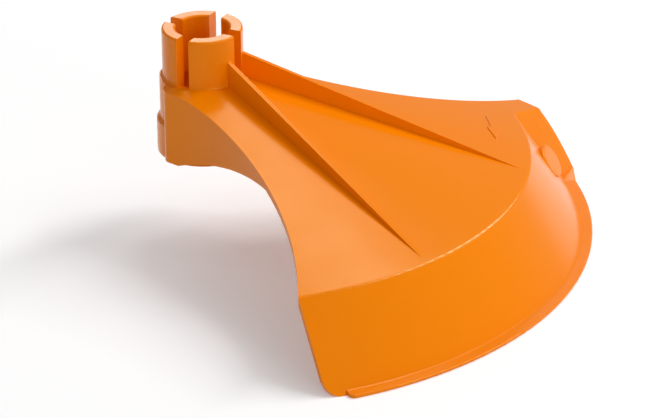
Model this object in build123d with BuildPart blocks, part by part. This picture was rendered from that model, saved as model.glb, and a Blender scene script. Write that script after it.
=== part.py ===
"""Trimmer guard: one plastic moulding that clamps on a grass trimmer's shaft tube.

The origin is on the collar's axis at the collar's foot, where it meets the deck. The fan opens
along +X, and +Z is up, so the cutting plane lies below, parallel to XY. Lengths are in
millimetres and angles in degrees. A drop is a depth below the origin.
"""

import os
from math import acos, atan, atan2, cos, degrees, hypot, radians, sin, tan

from build123d import *

# Walls
wall = 3.0
side_wall = 2.6
shoulder = 3.6

# Clamp collar
collar_bore_d = 30.0
collar_outer_d = 45.0
collar_height = 28.5
slot_count = 4
slot_width = 7.5
hub_edge = 1.2

# Housing sleeve under the deck, with a thicker band at its foot
sleeve_step = 1.8
sleeve_outer_d = collar_outer_d + 2 * sleeve_step
sleeve_drop = 45.0
band_drop = 23.5
band_step = 2.0

# Deck and skirt
crease_r = 181.6
crease_drop = 48.9
crease_round = 2.5
inner_crease_round = 1.0
rim_r = 212.2
rim_drop = 94.2

# Fan outline in plan, where a shift is measured from the middle of the blade seat
left_edge_r = 192.0
left_nose = (-11.5, -27.6)
left_nose_round = 6.0
left_crease_angle = -45.2
left_rim_angle = -43.5
left_foot_round = 10.0
right_edge_r = 180.0
right_overlap = 0.4
right_corner_shift = (-24.7151, 13.7427)
seat_top_shift = (-10.5151, 13.1427)
seat_bulge_shift = (0.9849, 19.9427)
seat_low_shift = (8.8849, 21.3427)
seat_foot_shift = (9.9849, 20.1427)

# Turned-down edge of the deck, and the gussets that deepen it towards the sleeve
edge_depth = 4.0
gusset_start_drop = 44.0
gusset_mid_x = 38.0
gusset_mid_drop = 31.7
gusset_end_x = 80.0
gusset_end_drop = 27.0

# Lip round the foot of the skirt
lip_width = 6.4
lip_depth = 2.3
lip_fall = 0.3
lip_edge = 0.6
lip_root_round = 3.0
lip_sink = 0.3
lip_start_angle = -40.5
lip_end_angle = 41.5
tail_foot_shift = (7.6849, 20.1427)
lip_end_round = 4.0

# Stiffening ribs on the deck
rib_angle = 20.0
rib_thickness = 2.6
rib_height = 15.5
rib_end_r = 177.0

# Flat blade seat at the right end, with a round screw boss beside it
seat_drop = 78.5
seat_angle = 43.3
seat_flare = 38.0
seat_round = 3.0
boss_drop = 69.3
boss_angle = 35.8
boss_tilt = 17.5
boss_d = 19.8
boss_rise = 3.0
boss_edge = 1.5

# Worked out from the sizes above
collar_r = collar_outer_d / 2
bore_r = collar_bore_d / 2
sleeve_r = sleeve_outer_d / 2
sleeve_bore_r = sleeve_r - wall
band_r = sleeve_r + band_step
deck_angle = atan(crease_drop / (crease_r - sleeve_r))
skirt_angle = atan((rim_r - crease_r) / (rim_drop - crease_drop))
reach = rim_r + 4 * lip_width


def deck_z(radius, inset=0.0):
    """Height of the deck's surface, moved down square to itself by an inset."""
    return -(radius - sleeve_r) * tan(deck_angle) - inset / cos(deck_angle)


def skirt_r(drop, inset=0.0):
    """Radius of the skirt's surface at a drop, moved in square to itself by an inset."""
    return crease_r + (drop - crease_drop) * tan(skirt_angle) - inset / cos(skirt_angle)


def at_angle(radius, angle):
    """Plan point at a radius and an angle."""
    return (radius * cos(radians(angle)), radius * sin(radians(angle)))


def radial_plane(angle):
    """Upright plane through the collar's axis, with its x along the radius at an angle."""
    return Plane(origin=(0, 0, 0), x_dir=(*at_angle(1, angle), 0), z_dir=(*at_angle(1, angle - 90), 0))


def skirt_plane(drop, angle, flare=0.0):
    """Plane on the skirt at a drop and an angle, turned outward about the skirt's own line."""
    across = Vector(*at_angle(1, angle + 90), 0)
    square = Vector(*at_angle(cos(skirt_angle), angle), sin(skirt_angle))
    normal = square * cos(radians(flare)) - across * sin(radians(flare))
    return Plane(origin=(*at_angle(skirt_r(drop), angle), -drop), x_dir=normal.cross(across), z_dir=normal)


def edge_start(corner, radius):
    """Plan point where an edge of this radius, which ends at the corner, leaves the sleeve."""
    start_r = sleeve_r - right_overlap
    corner_r = hypot(*corner)
    centre_r = start_r + radius
    cosine = (centre_r**2 + corner_r**2 - radius**2) / (2 * centre_r * corner_r)
    return at_angle(start_r, degrees(atan2(corner[1], corner[0]) + acos(cosine)))


seat_plane = skirt_plane(seat_drop, seat_angle, seat_flare)


def beside_seat(shift):
    """Plan point at a shift from the middle of the blade seat."""
    return (seat_plane.origin.X + shift[0], seat_plane.origin.Y + shift[1])


def envelope(inset, floor_drop, crease_radius):
    """Solid under the deck and inside the skirt and blade seat, with each surface moved in."""
    up = Vector(sin(deck_angle), cos(deck_angle))
    out = Vector(cos(skirt_angle), sin(skirt_angle))
    crease = Vector(crease_r, -crease_drop) - (up + out) * (inset / (1 + up.dot(out)))
    with BuildPart() as seat_block:
        with BuildSketch(Plane.XZ):
            Polygon(
                (0, deck_z(sleeve_r, inset)),
                (sleeve_r, deck_z(sleeve_r, inset)),
                (reach, deck_z(reach, inset)),
                (reach, -floor_drop),
                (0, -floor_drop),
                align=None,
            )
        revolve(axis=Axis.Z)
        # Wider for a larger inset, so that the cut sides of two bodies never coincide
        with BuildSketch(seat_plane.offset(-inset)):
            Rectangle(2 * reach + inset, 2 * crease_r + inset)
        extrude(amount=-2 * reach, mode=Mode.INTERSECT)
        seat_face = seat_block.faces().sort_by_distance(seat_plane.origin)[0]
        fillet(seat_face.edges().sort_by(Axis.Z)[-1], seat_round)
    with BuildPart() as body:
        with BuildSketch(Plane.XZ) as section:
            Polygon(
                (0, deck_z(sleeve_r, inset)),
                (sleeve_r, deck_z(sleeve_r, inset)),
                (crease.X, crease.Y),
                (skirt_r(floor_drop, inset), -floor_drop),
                (0, -floor_drop),
                align=None,
            )
            fillet(section.vertices().sort_by_distance((crease.X, crease.Y))[0], crease_radius)
        revolve(axis=Axis.Z)
        add(seat_block.part)
    return body.part


# Fan outline in plan, closed outside the rim and inside the sleeve's bore
left_corner = at_angle(crease_r, left_crease_angle)
left_rim = at_angle(rim_r, left_rim_angle)
left_outside = (2 * left_rim[0] - left_corner[0], 2 * left_rim[1] - left_corner[1])
right_corner = beside_seat(right_corner_shift)
right_start = edge_start(right_corner, right_edge_r)
seat_top = beside_seat(seat_top_shift)
seat_bulge = beside_seat(seat_bulge_shift)
seat_low = beside_seat(seat_low_shift)
seat_foot = beside_seat(seat_foot_shift)

with BuildSketch() as fan_plan:
    with BuildLine():
        RadiusArc(left_nose, left_corner, left_edge_r)
        Polyline(left_corner, left_outside, (reach, left_outside[1]), (reach, seat_foot[1]), seat_foot)
        Line(seat_foot, seat_low)
        ThreePointArc(seat_low, seat_bulge, seat_top)
        Line(seat_top, right_corner)
        RadiusArc(right_corner, right_start, right_edge_r)
        Polyline(right_start, (left_nose[0], 0), left_nose)
    make_face()
    fillet(fan_plan.vertices().sort_by_distance((*left_nose, 0))[0], left_nose_round)

# Space between the side walls, which join solid to the sleeve behind its axis
with BuildSketch() as side_space:
    offset(fan_plan.sketch, amount=-side_wall)
    Rectangle(reach, 2 * reach, align=(Align.MIN, Align.CENTER), mode=Mode.INTERSECT)

with BuildSketch() as side_band:
    add(fan_plan.sketch)
    add(side_space.sketch, mode=Mode.SUBTRACT)

# Rounded foot of the skirt's left end, drawn on the skirt's face with x along the rim
foot_plane = skirt_plane(rim_drop, left_rim_angle)
foot_plane = Plane(origin=foot_plane.origin, x_dir=-foot_plane.y_dir, z_dir=foot_plane.z_dir)
foot_up = foot_plane.to_local_coords(Vector(*left_corner, -crease_drop)).normalized()
foot_tangent = left_foot_round * tan((radians(180) - acos(foot_up.X)) / 2)
foot_side = (foot_up.X * foot_tangent, foot_up.Y * foot_tangent)

with BuildSketch(foot_plane) as left_foot_cut:
    with BuildLine():
        RadiusArc(foot_side, (foot_tangent, 0), -left_foot_round)
        Polyline((foot_tangent, 0), (foot_tangent, -wall), (-wall, -wall), (-wall, foot_side[1]), foot_side)
    make_face()

outer_body = envelope(0, rim_drop, crease_round)
middle_body = envelope(wall / 2, rim_drop, inner_crease_round)
inner_body = envelope(wall, rim_drop + wall, inner_crease_round)

# Gussets from the sleeve to the middle of the deck
with BuildPart() as gussets:
    with BuildSketch(Plane.XZ):
        with BuildLine():
            ThreePointArc(
                (0, -gusset_start_drop),
                (gusset_mid_x, -gusset_mid_drop),
                (gusset_end_x, -gusset_end_drop),
            )
            Polyline(
                (gusset_end_x, -gusset_end_drop),
                (gusset_end_x, wall),
                (left_nose[0], wall),
                (left_nose[0], -gusset_start_drop),
                (0, -gusset_start_drop),
            )
        make_face()
    extrude(amount=reach, both=True)

# Side walls: the deck's turned-down edge and the gussets, rooted in the middle of the shell's wall
with BuildPart() as side_walls:
    with BuildSketch(Plane.XZ):
        Polygon(
            (0, deck_z(sleeve_r)),
            (sleeve_r, deck_z(sleeve_r)),
            (rim_r, deck_z(rim_r)),
            (rim_r, deck_z(rim_r, edge_depth)),
            (sleeve_r, deck_z(sleeve_r, edge_depth)),
            (0, deck_z(sleeve_r, edge_depth)),
            align=None,
        )
    revolve(axis=Axis.Z)
    add(gussets.part)
    add(middle_body, mode=Mode.INTERSECT)
    extrude(side_band.sketch, amount=-rim_drop, mode=Mode.INTERSECT)

# Lip: a flange, rounded where it ends short of the skirt's left foot and led out to the seat's foot
lip_root_drop = rim_drop - lip_depth
lip_top_drop = lip_root_drop - lip_root_round
lip_r = skirt_r(lip_root_drop) + lip_width
lip_inner_r = skirt_r(lip_top_drop, wall / 2)
tail_foot = beside_seat(tail_foot_shift)

with BuildSketch() as lip_plan:
    with BuildLine():
        CenterArc((0, 0), lip_r, lip_start_angle, lip_end_angle - lip_start_angle)
        Line(at_angle(lip_r, lip_end_angle), at_angle(lip_inner_r, lip_end_angle))
        CenterArc((0, 0), lip_inner_r, lip_end_angle, lip_start_angle - lip_end_angle)
        Line(at_angle(lip_inner_r, lip_start_angle), at_angle(lip_r, lip_start_angle))
    make_face()
    fillet(lip_plan.vertices().sort_by_distance((*at_angle(lip_r, lip_start_angle), 0))[0], lip_end_round)

with BuildPart() as lip:
    with BuildSketch(Plane.XZ) as lip_section:
        Polygon(
            (lip_inner_r, -lip_top_drop),
            (skirt_r(lip_top_drop, lip_sink), -lip_top_drop),
            (skirt_r(lip_root_drop, lip_sink), -lip_root_drop),
            (lip_r, -lip_root_drop - lip_fall),
            (lip_r, -rim_drop),
            (lip_inner_r, -rim_drop),
            align=None,
        )
        fillet(lip_section.vertices().group_by(Axis.X)[-1], lip_edge)
        lip_root = (skirt_r(lip_root_drop, lip_sink), -lip_root_drop)
        fillet(lip_section.vertices().sort_by_distance(lip_root)[0], lip_root_round)
    revolve(axis=Axis.Z)
    extrude(lip_plan.sketch, amount=-rim_drop, mode=Mode.INTERSECT)
    with BuildSketch(Plane.XY.offset(-rim_drop)):
        Polygon(
            at_angle(lip_r, lip_end_angle),
            tail_foot,
            (tail_foot[0] - wall / 2, tail_foot[1] - wall),
            at_angle(rim_r - wall / 2, seat_angle),
            at_angle(rim_r - wall / 2, lip_end_angle),
            align=None,
        )
    extrude(amount=lip_depth - lip_fall)

# Screw boss, nearly flush with the skirt on one side and proud of it towards the seat
boss_plane = skirt_plane(boss_drop, boss_angle, boss_tilt)

with BuildPart() as boss:
    with BuildSketch(boss_plane.offset(boss_rise)):
        Circle(boss_d / 2)
    extrude(amount=-boss_d)
    boss_face = boss.faces().sort_by_distance(boss_plane.offset(boss_rise).origin)[0]
    fillet(boss_face.edges(), boss_edge)
    add(inner_body, mode=Mode.SUBTRACT)

with BuildPart() as guard:
    # Deck, skirt and blade seat as one shell, trimmed to the fan's outline
    add(outer_body)
    add(inner_body, mode=Mode.SUBTRACT)
    extrude(fan_plan.sketch, amount=-rim_drop - wall, mode=Mode.INTERSECT)
    extrude(left_foot_cut.sketch, amount=2 * wall, both=True, mode=Mode.SUBTRACT)
    add(side_walls.part)
    add(lip.part)
    add(boss.part)

    # Collar, shoulder and sleeve, turned about one axis
    Cylinder(
        sleeve_bore_r + wall / 2,
        rim_drop,
        align=(Align.CENTER, Align.CENTER, Align.MAX),
        mode=Mode.SUBTRACT,
    )
    with BuildSketch(Plane.XZ) as hub_section:
        Polygon(
            (bore_r, collar_height),
            (collar_r, collar_height),
            (collar_r, 0),
            (sleeve_r, 0),
            (sleeve_r, -band_drop),
            (band_r, -band_drop - band_step),
            (band_r, -sleeve_drop),
            (sleeve_bore_r, -sleeve_drop),
            (sleeve_bore_r, -shoulder),
            (bore_r, -shoulder),
            align=None,
        )
        for corner in (
            (bore_r, collar_height),
            (collar_r, collar_height),
            (collar_r, 0),
            (band_r, -band_drop - band_step),
            (band_r, -sleeve_drop),
        ):
            fillet(hub_section.vertices().sort_by_distance(corner)[0], hub_edge)
    revolve(axis=Axis.Z)

    # Ribs, highest at the collar and running out on the deck
    for side in (-1, 1):
        with BuildSketch(radial_plane(side * rib_angle)):
            Polygon(
                (collar_r - wall, rib_height),
                (rib_end_r, deck_z(rib_end_r)),
                (rib_end_r, deck_z(rib_end_r, wall / 2)),
                (collar_r - wall, -wall / 2),
                align=None,
            )
        extrude(amount=rib_thickness / 2, both=True)

    # Slots that let the collar close on the tube, open to the sleeve at their feet
    with PolarLocations(0, slot_count):
        Box(
            sleeve_r,
            slot_width,
            collar_height,
            align=(Align.MIN, Align.CENTER, Align.MIN),
            mode=Mode.SUBTRACT,
        )
        Box(
            sleeve_bore_r - wall / 2,
            slot_width,
            2 * shoulder,
            align=(Align.MIN, Align.CENTER, Align.CENTER),
            mode=Mode.SUBTRACT,
        )

guard.part.label = "guard"
os.makedirs("parts", exist_ok=True)
export_step(guard.part, "parts/guard.step")
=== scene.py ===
"""Trimmer guard: its orange plastic, the raised arrow on its deck and a plain studio around it.

Lengths are in metres, angles in degrees and lamp powers in watts. Lens and sensor are in millimetres.
"""

import logging
import math
from dataclasses import dataclass, field
from enum import Enum

import bmesh
import bpy
from mathutils import Matrix, Quaternion, Vector


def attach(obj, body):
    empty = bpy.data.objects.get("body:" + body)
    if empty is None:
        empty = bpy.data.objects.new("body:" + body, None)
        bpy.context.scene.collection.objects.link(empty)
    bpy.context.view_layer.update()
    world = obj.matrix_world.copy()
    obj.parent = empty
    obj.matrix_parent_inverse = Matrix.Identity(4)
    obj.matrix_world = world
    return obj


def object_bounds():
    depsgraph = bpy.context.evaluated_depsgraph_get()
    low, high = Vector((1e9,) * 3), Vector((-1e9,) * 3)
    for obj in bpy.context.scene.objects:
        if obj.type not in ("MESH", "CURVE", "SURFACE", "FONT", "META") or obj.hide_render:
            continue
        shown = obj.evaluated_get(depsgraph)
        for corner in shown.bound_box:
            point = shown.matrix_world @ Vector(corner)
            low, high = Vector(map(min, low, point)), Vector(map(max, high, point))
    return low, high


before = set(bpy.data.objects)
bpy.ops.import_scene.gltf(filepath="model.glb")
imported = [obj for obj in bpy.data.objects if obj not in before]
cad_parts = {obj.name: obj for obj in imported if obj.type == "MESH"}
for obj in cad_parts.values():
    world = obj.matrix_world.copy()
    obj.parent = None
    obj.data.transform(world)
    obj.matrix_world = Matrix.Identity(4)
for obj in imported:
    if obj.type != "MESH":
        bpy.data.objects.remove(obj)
cad_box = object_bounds()

log = logging.getLogger("trimmer_guard")

Colour = tuple[float, float, float, float]

MM = 0.001
UP = (0.0, 0.0, 1.0)
DOWN = (0.0, 0.0, -1.0)
WHITE: Colour = (1.0, 1.0, 1.0, 1.0)


def verts_of(parts: list[object]) -> list[bmesh.types.BMVert]:
    """The vertices among the parts that a mesh operator gave back."""
    return [part for part in parts if isinstance(part, bmesh.types.BMVert)]


def edges_of(parts: list[object]) -> list[bmesh.types.BMEdge]:
    """The edges among the parts that a mesh operator gave back."""
    return [part for part in parts if isinstance(part, bmesh.types.BMEdge)]


def place_mesh(bm: bmesh.types.BMesh, name: str) -> bpy.types.Object:
    """Turns a finished mesh into an object of the scene.

    Args:
        bm: The finished mesh, which is freed.
        name: The name of the object and of its mesh.

    Returns:
        The new object.
    """
    mesh = bpy.data.meshes.new(name)
    bm.to_mesh(mesh)
    bm.free()
    made = bpy.data.objects.new(name, mesh)
    bpy.context.scene.collection.objects.link(made)
    return made


class LampPlace(Enum):
    """Where a studio lamp hangs, as a direction from the guard."""

    BACK_RIGHT = (0.385, 0.5, 0.777)
    BACK = (-0.12, 0.54, 0.83)
    BACK_LEFT = (-0.42, 0.79, 0.446)
    RIGHT = (0.55, 0.2, 0.81)
    FRONT_RIGHT = (0.8, -0.55, 0.2)


@dataclass(frozen=True)
class PlasticFinish:
    """Satin injection-moulded plastic with a very fine grain."""

    name: str = "orange_plastic"
    colour: Colour = (0.9, 0.225, 0.0, 1.0)
    roughness_low: float = 0.18
    roughness_high: float = 0.24
    gloss: float = 0.26
    gloss_tint: Colour = (1.0, 1.0, 0.45, 1.0)
    cloud_scale: float = 60.0
    cloud_low: float = 0.3
    cloud_high: float = 0.7
    grain_scale: float = 2600.0
    grain_strength: float = 0.02
    grain_depth: float = 0.02 * MM

    def material(self) -> bpy.types.Material:
        """Makes the plastic, with its roughness and grain laid out in the object's own space.

        Returns:
            The material, ready to assign.
        """
        made = bpy.data.materials.new(self.name)
        made.use_nodes = True
        nodes, links = made.node_tree.nodes, made.node_tree.links
        shader = nodes["Principled BSDF"]
        shader.inputs["Base Color"].default_value = self.colour
        shader.inputs["Specular IOR Level"].default_value = self.gloss
        shader.inputs["Specular Tint"].default_value = self.gloss_tint
        place = nodes.new("ShaderNodeTexCoord")
        cloud = nodes.new("ShaderNodeTexNoise")
        cloud.inputs["Scale"].default_value = self.cloud_scale
        links.new(place.outputs["Object"], cloud.inputs["Vector"])
        spread = nodes.new("ShaderNodeMapRange")
        spread.inputs["From Min"].default_value = self.cloud_low
        spread.inputs["From Max"].default_value = self.cloud_high
        spread.inputs["To Min"].default_value = self.roughness_low
        spread.inputs["To Max"].default_value = self.roughness_high
        links.new(cloud.outputs["Fac"], spread.inputs["Value"])
        links.new(spread.outputs["Result"], shader.inputs["Roughness"])
        grain = nodes.new("ShaderNodeTexNoise")
        grain.inputs["Scale"].default_value = self.grain_scale
        links.new(place.outputs["Object"], grain.inputs["Vector"])
        bump = nodes.new("ShaderNodeBump")
        bump.inputs["Strength"].default_value = self.grain_strength
        bump.inputs["Distance"].default_value = self.grain_depth
        links.new(grain.outputs["Fac"], bump.inputs["Height"])
        links.new(bump.outputs["Normal"], shader.inputs["Normal"])
        return made


@dataclass(frozen=True)
class PaperFinish:
    """Matt white studio paper, lifted a little where the camera or a reflection sees it."""

    name: str = "white_paper"
    colour: Colour = (0.85, 0.85, 0.85, 1.0)
    roughness: float = 0.9
    gloss: float = 0.0
    lift: float = 0.22
    lift_colour: Colour = WHITE

    def material(self) -> bpy.types.Material:
        """Makes the paper, whose lift shows to the camera and in reflections and lights nothing else.

        Returns:
            The material, ready to assign.
        """
        made = bpy.data.materials.new(self.name)
        made.use_nodes = True
        nodes, links = made.node_tree.nodes, made.node_tree.links
        shader = nodes["Principled BSDF"]
        shader.inputs["Base Color"].default_value = self.colour
        shader.inputs["Roughness"].default_value = self.roughness
        shader.inputs["Specular IOR Level"].default_value = self.gloss
        shader.inputs["Emission Color"].default_value = self.lift_colour
        path = nodes.new("ShaderNodeLightPath")
        mirrored = nodes.new("ShaderNodeMath")
        mirrored.operation = "MAXIMUM"
        links.new(path.outputs["Is Glossy Ray"], mirrored.inputs[0])
        links.new(path.outputs["Is Transmission Ray"], mirrored.inputs[1])
        seen = nodes.new("ShaderNodeMath")
        seen.operation = "MAXIMUM"
        links.new(path.outputs["Is Camera Ray"], seen.inputs[0])
        links.new(mirrored.outputs["Value"], seen.inputs[1])
        level = nodes.new("ShaderNodeMapRange")
        level.inputs["To Max"].default_value = self.lift
        links.new(seen.outputs["Value"], level.inputs["Value"])
        links.new(level.outputs["Result"], shader.inputs["Emission Strength"])
        return made


@dataclass
class GuardMoulding:
    """The moulded guard itself, as the CAD gives it."""

    plastic: bpy.types.Material
    node_name: str = "guard"
    probe_height: float = 1.0

    @property
    def node(self) -> bpy.types.Object:
        """The guard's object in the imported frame."""
        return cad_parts[self.node_name]

    def dress(self) -> bpy.types.Object:
        """Gives the moulding its plastic.

        Returns:
            The dressed object.
        """
        self.node.data.materials.clear()
        self.node.data.materials.append(self.plastic)
        return self.node

    def height_at(self, x: float, y: float) -> float:
        """Finds the top of the moulding above one point of the floor plan.

        Args:
            x: Distance along X.
            y: Distance along Y.

        Returns:
            The height of the first surface met from above.

        Raises:
            ValueError: If the moulding isn't under that point.
        """
        hit, spot, _, _ = self.node.ray_cast(Vector((x, y, self.probe_height)), Vector(DOWN))
        if not hit:
            raise ValueError(f"no deck under ({x:.4f}, {y:.4f})")
        return spot.z


@dataclass
class TurnArrow:
    """The raised arrow on the deck that shows which way the cutting line turns."""

    moulding: GuardMoulding
    radius: float = 162.6 * MM
    stem_half_width: float = 1.3 * MM
    head_half_width: float = 3.6 * MM
    start_angle: float = 39.4
    stem_end_angle: float = 34.2
    barb_angle: float = 33.6
    tip_angle: float = 29.2
    rise: float = 0.6 * MM
    root: float = 0.4 * MM
    edge_round: float = 0.2 * MM
    edge_segments: int = 2
    edge_profile: float = 0.5
    side_tilt: float = 0.5
    stem_steps: int = 6

    def at(self, half_width: float, angle: float) -> Vector:
        """Point at a distance out from the arrow's centre line, at an angle."""
        reach, turn = self.radius + half_width, math.radians(angle)
        return Vector((reach * math.cos(turn), reach * math.sin(turn), 0.0))

    def draw_outline(self, bm: bmesh.types.BMesh) -> None:
        """Sweeps the stem round the guard's axis, then steps out to the barbs and in to the tip.

        Args:
            bm: The mesh to draw in.
        """
        inner = bm.verts.new(self.at(-self.stem_half_width, self.start_angle))
        outer = bm.verts.new(self.at(self.stem_half_width, self.start_angle))
        first = bm.edges.new((inner, outer))
        swept = bmesh.ops.spin(
            bm, geom=[inner, outer, first], cent=(0, 0, 0), axis=UP, dvec=(0, 0, 0),
            angle=math.radians(self.stem_end_angle - self.start_angle), steps=self.stem_steps,
            use_merge=False, use_duplicate=False)
        barbs = bmesh.ops.extrude_edge_only(bm, edges=edges_of(swept["geom_last"]))["geom"]
        for vert in verts_of(barbs):
            side = math.copysign(self.head_half_width, vert.co.xy.length - self.radius)
            vert.co = self.at(side, self.barb_angle)
        tip = bmesh.ops.extrude_edge_only(bm, edges=edges_of(barbs))["geom"]
        bmesh.ops.pointmerge(bm, verts=verts_of(tip), merge_co=self.at(0.0, self.tip_angle))

    def raise_outline(self, bm: bmesh.types.BMesh) -> None:
        """Gives the flat arrow its thickness, rounds its top edge and lays it on the deck.

        Args:
            bm: The mesh that holds the flat arrow.
        """
        lifted = bmesh.ops.extrude_face_region(bm, geom=list(bm.faces))["geom"]
        bmesh.ops.translate(bm, verts=verts_of(lifted), vec=(0, 0, self.rise + self.root))
        bmesh.ops.recalc_face_normals(bm, faces=list(bm.faces))
        crest = [edge for edge in bm.edges
                 if min(vert.co.z for vert in edge.verts) > self.root
                 and any(abs(face.normal.z) < self.side_tilt for face in edge.link_faces)]
        bmesh.ops.bevel(
            bm, geom=crest, offset=self.edge_round, offset_type="OFFSET", affect="EDGES",
            segments=self.edge_segments, profile=self.edge_profile, material=-1)
        for vert in bm.verts:
            vert.co.z += self.moulding.height_at(vert.co.x, vert.co.y) - self.root

    def build(self) -> bpy.types.Object:
        """Builds the arrow and fixes it to the guard.

        Returns:
            The finished arrow.
        """
        bm = bmesh.new()
        self.draw_outline(bm)
        self.raise_outline(bm)
        arrow = place_mesh(bm, "turn_arrow")
        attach(arrow, "root")
        arrow.data.materials.clear()
        arrow.data.materials.append(self.moulding.plastic)
        return arrow


@dataclass
class StudioFloor:
    """A sheet of white paper under the guard."""

    finish: PaperFinish = field(default_factory=PaperFinish)
    half_width: float = 4.0

    def build(self) -> bpy.types.Object:
        """Lays the paper at the guard's lowest point.

        Returns:
            The floor.
        """
        bm = bmesh.new()
        bmesh.ops.create_grid(bm, x_segments=1, y_segments=1, size=self.half_width,
                              matrix=Matrix.Translation((0.0, 0.0, cad_box[0][2])))
        floor = place_mesh(bm, "floor")
        floor.data.materials.append(self.finish.material())
        return floor


@dataclass
class StudioLamp:
    """A soft rectangular lamp that faces the guard."""

    place: LampPlace
    power: float
    width: float
    height: float
    turn: float = 0.0
    distance: float = 3.0
    aim: Vector = field(default_factory=lambda: Vector((0.09, 0.0, -0.05)))

    def build(self) -> bpy.types.Object:
        """Hangs the lamp and points it at the guard.

        Returns:
            The lamp.
        """
        name = f"lamp_{self.place.name.lower()}"
        light = bpy.data.lights.new(name, "AREA")
        light.energy = self.power
        light.shape = "RECTANGLE"
        light.size = self.width
        light.size_y = self.height
        lamp = bpy.data.objects.new(name, light)
        back = Vector(self.place.value).normalized()
        lamp.location = self.aim + back * self.distance
        facing = back.to_track_quat("Z", "Y") @ Quaternion(UP, math.radians(self.turn))
        lamp.rotation_euler = facing.to_euler()
        bpy.context.scene.collection.objects.link(lamp)
        return lamp


@dataclass
class StudioSky:
    """The even light that fills the room."""

    colour: Colour = WHITE
    strength: float = 0.37

    def build(self) -> bpy.types.World:
        """Makes the room's light.

        Returns:
            The world now in use.
        """
        world = bpy.data.worlds.new("studio_sky")
        world.use_nodes = True
        sky = world.node_tree.nodes["Background"]
        sky.inputs["Color"].default_value = self.colour
        sky.inputs["Strength"].default_value = self.strength
        bpy.context.scene.world = world
        return world


@dataclass
class PictureCamera:
    """The camera, set where the picture was taken from."""

    aim: Vector = field(default_factory=lambda: Vector((58.5, 31.1, -84.3)) * MM)
    azimuth: float = 28.0
    elevation: float = 26.475
    roll: float = -0.45
    distance: float = 2230.66 * MM
    lens: float = 220.3
    sensor: float = 36.0

    def build(self) -> bpy.types.Object:
        """Puts the camera in place and makes it the scene's own.

        Returns:
            The camera.
        """
        data = bpy.data.cameras.new("picture_camera")
        data.lens = self.lens
        data.sensor_width = self.sensor
        camera = bpy.data.objects.new("picture_camera", data)
        turn, lift = math.radians(self.azimuth), math.radians(self.elevation)
        right = Vector((math.cos(turn), math.sin(turn), 0.0))
        ahead = Vector((-math.sin(turn), math.cos(turn), 0.0))
        back = Vector(UP) * math.sin(lift) - ahead * math.cos(lift)
        level = Matrix((right, back.cross(right), back)).transposed()
        tipped = level @ Matrix.Rotation(math.radians(self.roll), 3, "Z")
        camera.matrix_world = Matrix.Translation(self.aim + back * self.distance) @ tipped.to_4x4()
        bpy.context.scene.collection.objects.link(camera)
        bpy.context.scene.camera = camera
        return camera


def main() -> None:
    """Builds and dresses every piece in order, and reports each one."""
    logging.basicConfig(level=logging.INFO, format="%(name)s: %(message)s")
    bpy.context.scene.view_settings.view_transform = "Standard"
    moulding = GuardMoulding(PlasticFinish().material())
    log.info("moulding %s dressed", moulding.dress().name)
    log.info("arrow %s seated", TurnArrow(moulding).build().name)
    log.info("floor %s laid", StudioFloor().build().name)
    log.info("sky %s set", StudioSky().build().name)
    for lamp in (StudioLamp(LampPlace.BACK_RIGHT, power=43.0, width=0.3, height=2.0, turn=36.0),
                 StudioLamp(LampPlace.BACK_LEFT, power=5.7, width=0.6, height=0.6),
                 StudioLamp(LampPlace.BACK, power=8.5, width=0.9, height=0.6),
                 StudioLamp(LampPlace.RIGHT, power=12.5, width=1.8, height=1.8),
                 StudioLamp(LampPlace.FRONT_RIGHT, power=17.5, width=1.2, height=1.2)):
        log.info("lamp %s hung", lamp.build().name)
    log.info("camera %s placed", PictureCamera().build().name)


if __name__ == "__main__":
    main()
